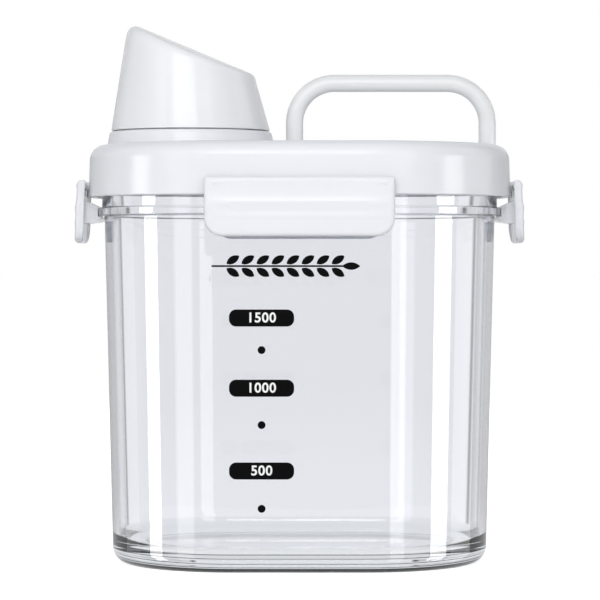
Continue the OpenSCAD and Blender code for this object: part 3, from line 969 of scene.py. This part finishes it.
def colour_ramp(nodes, links, share, stops):
    """A colour that follows share through stops of (position, colour)."""
    ramp = nodes.new("ShaderNodeValToRGB")
    links.new(share, ramp.inputs["Fac"])
    elements = ramp.color_ramp.elements
    for index, (position, colour) in enumerate(stops):
        stop = elements[index] if index < 2 else elements.new(1.0)
        stop.position = position
        stop.color = colour
    return ramp.outputs["Color"]


def background(nodes, colour, strength=1.0):
    light = nodes.new("ShaderNodeBackground")
    light.inputs["Color"].default_value = colour
    light.inputs["Strength"].default_value = strength
    return light.outputs["Background"]


def varied_background(nodes, links, colour, strength=1.0):
    light = nodes.new("ShaderNodeBackground")
    light.inputs["Strength"].default_value = strength
    links.new(colour, light.inputs["Color"])
    return light.outputs["Background"]


def fill_light(nodes, links, direction):
    """What matt surfaces are lit by: white, and greyer from the sides and from above."""
    sideways = math_node(nodes, links, "ABSOLUTE", direction["X"])
    away = math_node(nodes, links, "MAXIMUM", part_of(nodes, links, sideways, *SIDE_ZONE),
                     part_of(nodes, links, direction["Z"], *TOP_ZONE))
    grey = colour_ramp(nodes, links, away, ((0, PURE_WHITE), (1, SIDE_GREY)))
    return varied_background(nodes, links, grey, FILL_LIGHT)


def room_behind(nodes, links, direction):
    """What clear and glossy surfaces show: the backdrop's panels, between a pale floor and ceiling."""
    stops = [((x + 1) / 2, (grey, grey, grey * 1.02, 1)) for x, grey in BACKDROP]
    panels = colour_ramp(nodes, links, part_of(nodes, links, direction["X"], -1, 1), stops)
    room = shaders_mixed(nodes, links, part_of(nodes, links, direction["Y"], *BACK_ZONE),
                         background(nodes, ROOM_GREY), varied_background(nodes, links, panels))
    slope = math_node(nodes, links, "ABSOLUTE", direction["Z"])
    return shaders_mixed(nodes, links, part_of(nodes, links, slope, *BACKDROP_EDGE),
                         room, background(nodes, FLOOR_WHITE))


def make_world():
    """Plain white for the camera, soft fill for matt surfaces, and a room for clear and glossy ones."""
    world = bpy.data.worlds.new("studio")
    bpy.context.scene.world = world
    world.use_nodes = True
    nodes, links = world.node_tree.nodes, world.node_tree.links
    place = nodes.new("ShaderNodeTexCoord")
    direction = nodes.new("ShaderNodeSeparateXYZ")
    links.new(place.outputs["Generated"], direction.inputs["Vector"])
    scatters = nodes.new("ShaderNodeLightPath").outputs["Diffuse Depth"]
    shiny_ray = ray_switch(nodes, links, "Is Glossy Ray", "Is Transmission Ray")
    polished = math_node(nodes, links, "MULTIPLY", shiny_ray, part_of(nodes, links, scatters, 1, 0))
    inside = math_node(nodes, links, "MULTIPLY", ray_switch(nodes, links, "Is Transmission Ray"),
                       part_of(nodes, links, scatters, 0, 1))
    light = shaders_mixed(nodes, links, polished, fill_light(nodes, links, direction.outputs),
                          room_behind(nodes, links, direction.outputs))
    light = shaders_mixed(nodes, links, inside, light, background(nodes, PURE_WHITE, INSIDE_LIGHT))
    seen = nodes["Background"]
    seen.inputs["Color"].default_value = PURE_WHITE
    light = shaders_mixed(nodes, links, ray_switch(nodes, links, "Is Camera Ray"),
                          light, seen.outputs["Background"])
    links.new(light, nodes["World Output"].inputs["Surface"])


def area_light(name, place, target, size, power):
    """A soft lamp that the camera doesn't see."""
    lamp = bpy.data.lights.new(name, "AREA")
    lamp.shape = "RECTANGLE"
    lamp.size, lamp.size_y = size
    lamp.energy = power
    light = new_object(name, lamp)
    light.location = place
    light.rotation_euler = (Vector(target) - Vector(place)).to_track_quat("-Z", "Y").to_euler()
    light.visible_camera = False
    return light


MIDDLE = (0, 0, 0.11)
# The back lamp keeps the lid from going dark in views from behind, and shows in no reflection.
area_light("key", (-0.16, -1.20, 0.75), MIDDLE, (0.76, 0.5), 7.15)
back_key = area_light("back_key", (0.16, 1.20, 0.55), MIDDLE, (0.76, 0.5), 3.6)
back_key.visible_transmission = False
back_key.visible_glossy = False
# Strips that make the highlights on the lid and the body: name, place, size, power, and whether the
# strip also lights matt surfaces and shows through clear ones
STRIPS = (("left_strip", (-0.76, -0.20, -0.10), (0.19, 0.75), 4.0, False),
          ("right_strip", (0.76, -0.27, -0.10), (0.25, 0.75), 5.0, False),
          ("left_soft_strip", (-0.62, -0.62, 0.15), (0.26, 1.5), 1.9, True),
          ("right_soft_strip", (0.46, -0.80, 0.15), (0.22, 1.5), 2.2, True),
          ("left_far_strip", (-0.75, 0.22, 0.15), (0.30, 1.5), 1.1, False),
          ("right_far_strip", (0.79, 0.12, 0.15), (0.40, 1.5), 3.0, False))
for name, place, size, power, soft in STRIPS:
    strip = area_light(name, place, (0, place[1] / 2, place[2]), size, power)
    strip.visible_diffuse = soft
    strip.visible_transmission = soft

# The picture is PICTURE_SIDE pixels square, and the lens gives PX_PER_MM at the object's middle.
PICTURE_SIDE = 600
HORIZON_ROW = 260
FLOOR_ROW = 559
FOCAL_PX = 2860
PX_PER_MM = 1 / 0.414
CAMERA_X = 0.2
SENSOR = 36


def make_camera():
    """A level camera at the height of the horizon's row, with its frame shifted down to the object."""
    data = bpy.data.cameras.new("camera")
    camera = new_object("camera", data)
    height = (FLOOR_ROW - HORIZON_ROW) / PX_PER_MM
    camera.location = Vector((CAMERA_X, -FOCAL_PX / PX_PER_MM, height)) * MM
    camera.rotation_euler = (math.radians(90), 0, 0)
    data.sensor_width = SENSOR
    data.lens = SENSOR * FOCAL_PX / PICTURE_SIDE
    data.shift_y = (HORIZON_ROW - PICTURE_SIDE / 2) / PICTURE_SIDE
    data.clip_start = 0.05
    bpy.context.scene.camera = camera


make_stage()
make_world()
make_camera()
bpy.context.scene.view_settings.view_transform = "Standard"
